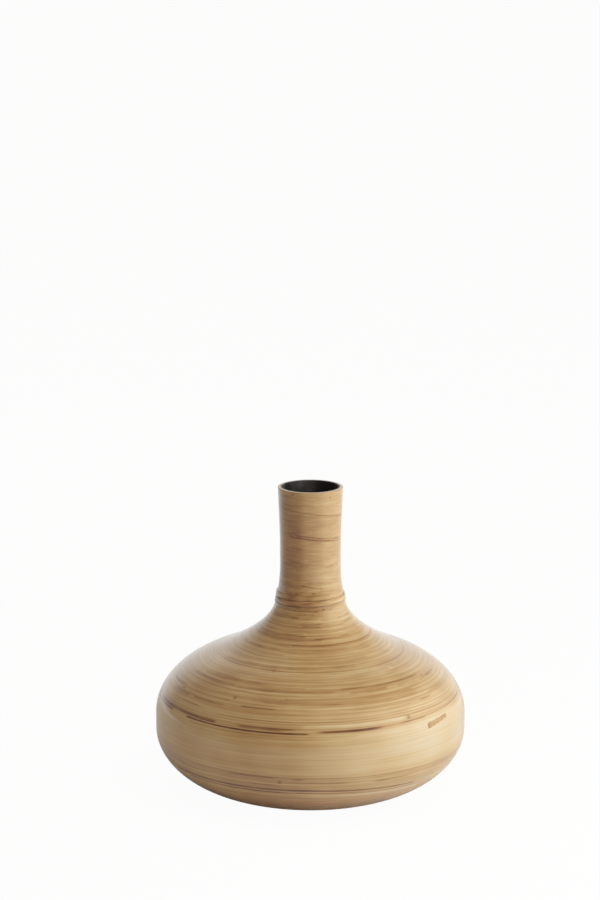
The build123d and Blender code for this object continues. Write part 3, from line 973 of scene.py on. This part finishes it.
class VASE_OT_binding(bpy.types.Operator):
    """Winds the strap round the joint of neck and throat"""

    bl_idname = "vase.binding"
    bl_label = "Strap round the joint"

    def execute(self, context):
        sizes, winding, colours = settings(context)
        advance = winding.strap_width + winding.strap_seam
        reach = (winding.strap_width + advance * winding.strap_turns) / 2
        low = sizes.throat_height - reach + winding.strap_width / 2
        half = winding.strap_width / 2
        lean = math.tan(sizes.land_lean)
        round_steps = winding.neck_columns
        columns = round(round_steps * winding.strap_turns)
        bm, (strap_uv, tones, blushes_and_shade), cells = painted_grid(columns, len(STRAP_SECTION))
        for face in bm.faces:
            for loop in face.loops:
                column, row = cells[loop.vert]
                azimuth = winding.strap_start + TURN * column / round_steps
                wear = noise.noise(Vector((column * 0.09, row * 0.9, 5.0)))
                part = row % len(STRAP_SECTION)
                edge = 0.0
                if part in STRAP_LOW_EDGE:
                    # The first turn's lower edge is the collar's, and is painted darkest: painted shade where
                    # the strap stands over the throat
                    edge = 0.34 if column < round_steps else 0.10
                elif part in STRAP_HIGH_EDGE:
                    edge = 0.08
                loop[strap_uv].uv = (column / round_steps, 0.5)
                # Painted light: the strap's lit right side is painted paler
                loop[tones] = 0.42 + 0.26 * wear + 0.22 * painted_light_side(azimuth, -4, 36) - edge
                loop[blushes_and_shade] = 0.15
        for vert, (column, row) in cells.items():
            across, out = STRAP_SECTION[row % len(STRAP_SECTION)]
            up = half * across
            share = column / columns
            turn = winding.strap_turns * share
            ragged = 0.25 * MM * noise.noise(Vector((column * 0.11, up / MM, 0.0)))
            height = low + advance * turn + up + ragged
            # Both ends are shaved thin
            thick = winding.strap_thickness * clamp(min(share, 1 - share) / 0.03, 0.25, 1.0)
            land = sizes.throat_radius - (height - sizes.throat_height) * lean
            radius = land + (0.03 * MM + out * thick) / math.cos(sizes.land_lean)
            vert.co = round_axis(radius, winding.strap_start + TURN * turn, height)
        bmesh.ops.remove_doubles(bm, verts=bm.verts, dist=SAME_POINT)
        bmesh.ops.holes_fill(bm, edges=[edge for edge in bm.edges if edge.is_boundary], sides=0)
        bmesh.ops.recalc_face_normals(bm, faces=bm.faces)
        strap = link(smooth_mesh(bm, "neck_strap", 50), "neck_strap", [bamboo("strip", colours)])
        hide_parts("neck_binding")
        return {"FINISHED"}


# Each lamp's name, degrees to the right of the front, height, distance from the axis, width and height of
# its face, watts, and the height that it aims at. Lengths are in metres.
LAMPS = (
    ("key softbox", 70, 0.60, 1.15, 1.6, 0.9, 10.7, 0.20),
    ("top softbox", 48, 1.9, 1.1, 1.4, 1.4, 13.0, 0.1),
)
FILL_STRENGTH = 0.37
# The camera stands where the photo's did: its place in metres, how many degrees down it looks, and its lens
CAMERA_PLACE = (-0.0100, -2.8397, 0.919)
CAMERA_DOWN = 11.63
CAMERA_LENS = 121.2
CAMERA_SENSOR = 36.0
FLOOR_RADIUS = 40
# How much of the floor's own white the camera sees. The rest is lit paper, which keeps the shadow.
FLOOR_WHITE = 0.96
WHITE = {"Color": (1, 1, 1, 1), "Strength": 1.0}


def white_seen(node, way, behind_span, beside_span):
    """1 where a ray sees the white studio, and 0 where it sees its light.

    The camera sees white all round. Reflections see it behind the vase and at its right, and past that the
    dimmer room. The spans are the Y and the X of way over which the white comes up. node adds the nodes.
    """
    rays = node("LightPath").outputs
    parts = node("SeparateXYZ", {0: way}).outputs
    sides = []
    for axis, (low, high) in ((1, behind_span), (0, beside_span)):
        span = {"Value": parts[axis], "From Min": low, "From Max": high}
        sides.append(node("MapRange", span, interpolation_type="SMOOTHSTEP"))
    around = node("Math", {0: sides[0], 1: sides[1]}, operation="MAXIMUM")
    seen = node("Math", {0: rays["Is Glossy Ray"], 1: around}, operation="MULTIPLY")
    for ray in ("Is Camera Ray", "Is Transmission Ray"):
        seen = node("Math", {0: rays[ray], 1: seen}, operation="MAXIMUM")
    return seen


def studio_floor(colours):
    """A matt white paper floor that the camera sees nearly white, and that keeps the vase's shadow."""
    material = bpy.data.materials.new("white studio paper")
    node = node_adder(material)
    grain = node("TexNoise", {"Scale": 900.0})
    bump = node("Bump", {"Height": grain, "Strength": 0.05, "Distance": 0.1 * MM})
    paper = node("BsdfDiffuse", {"Color": (*colours.floor, 1), "Normal": bump})
    seen = white_seen(node, node("TexCoord").outputs["Object"], (0.2, 1.0), (0.2, 0.5))
    share = node("Math", {0: seen, 1: FLOOR_WHITE}, operation="MULTIPLY")
    mix = node("MixShader", {0: share, 1: paper, 2: node("Emission", WHITE)})
    node("OutputMaterial", {0: mix})
    return material


def white_studio(colours):
    """The room's light all round, and the white studio that is seen in its place."""
    world = bpy.data.worlds.new("white studio")
    node = node_adder(world)
    fill = node("Background", {"Color": (*colours.fill, 1), "Strength": FILL_STRENGTH})
    seen = white_seen(node, node("TexCoord").outputs["Generated"], (0.6, 0.95), (0.5, 0.85))
    mix = node("MixShader", {0: seen, 1: fill, 2: node("Background", WHITE)})
    node("OutputWorld", {0: mix})
    return world


class VASE_OT_stage(bpy.types.Operator):
    """Sets up the pale floor, the soft lights and the camera"""

    bl_idname = "vase.stage"
    bl_label = "Studio floor, lights and camera"

    def execute(self, context):
        scene = context.scene
        colours = scene.vase_colours
        bm = bmesh.new()
        bmesh.ops.create_circle(bm, cap_ends=True, radius=FLOOR_RADIUS, segments=96)
        mesh = bpy.data.meshes.new("studio_floor")
        bm.to_mesh(mesh)
        bm.free()
        floor = bpy.data.objects.new("studio_floor", mesh)
        scene.collection.objects.link(floor)
        floor.data.materials.append(studio_floor(colours))
        scene.world = white_studio(colours)

        for name, azimuth, height, distance, width, tall, power, aim_height in LAMPS:
            lamp = bpy.data.lights.new(name, "AREA")
            lamp.shape = "RECTANGLE"
            lamp.size, lamp.size_y, lamp.energy = width, tall, power
            light = bpy.data.objects.new(name, lamp)
            light.location = round_axis(distance, math.radians(azimuth), height)
            way = Vector((0, 0, aim_height)) - light.location
            light.rotation_euler = way.to_track_quat("-Z", "Y").to_euler()
            # The lacquer shows the white studio round the vase, not the lamps themselves
            light.visible_camera = False
            light.visible_glossy = False
            scene.collection.objects.link(light)

        camera = bpy.data.objects.new("camera", bpy.data.cameras.new("camera"))
        camera.data.lens = CAMERA_LENS
        camera.data.sensor_width = CAMERA_SENSOR
        camera.location = CAMERA_PLACE
        camera.rotation_euler = (math.radians(90 - CAMERA_DOWN), 0, 0)
        scene.collection.objects.link(camera)
        scene.camera = camera
        scene.view_settings.view_transform = "Standard"
        return {"FINISHED"}


class VASE_PT_panel(bpy.types.Panel):
    """Lists the vase's sizes, colours and steps"""

    bl_idname = "VASE_PT_panel"
    bl_label = "Coiled bamboo vase"
    bl_space_type = "VIEW_3D"
    bl_region_type = "UI"
    bl_category = "Vase"

    def draw(self, context):
        for group in settings(context):
            box = self.layout.box()
            for name in group.__annotations__:
                box.prop(group, name)
        for step in STEPS:
            self.layout.operator(step.bl_idname)


STEPS = (VASE_OT_coils, VASE_OT_band, VASE_OT_neck, VASE_OT_binding, VASE_OT_stage)
CLASSES = (VaseSizes, WindingSizes, VaseColours) + STEPS + (VASE_PT_panel,)


def register():
    for one in CLASSES:
        bpy.utils.register_class(one)
    bpy.types.Scene.vase_sizes = PointerProperty(type=VaseSizes)
    bpy.types.Scene.vase_winding = PointerProperty(type=WindingSizes)
    bpy.types.Scene.vase_colours = PointerProperty(type=VaseColours)


def unregister():
    del bpy.types.Scene.vase_colours
    del bpy.types.Scene.vase_winding
    del bpy.types.Scene.vase_sizes
    for one in reversed(CLASSES):
        bpy.utils.unregister_class(one)


def main():
    register()
    bpy.ops.vase.coils()
    bpy.ops.vase.band()
    bpy.ops.vase.neck()
    bpy.ops.vase.binding()
    bpy.ops.vase.stage()


if __name__ == "__main__":
    main()
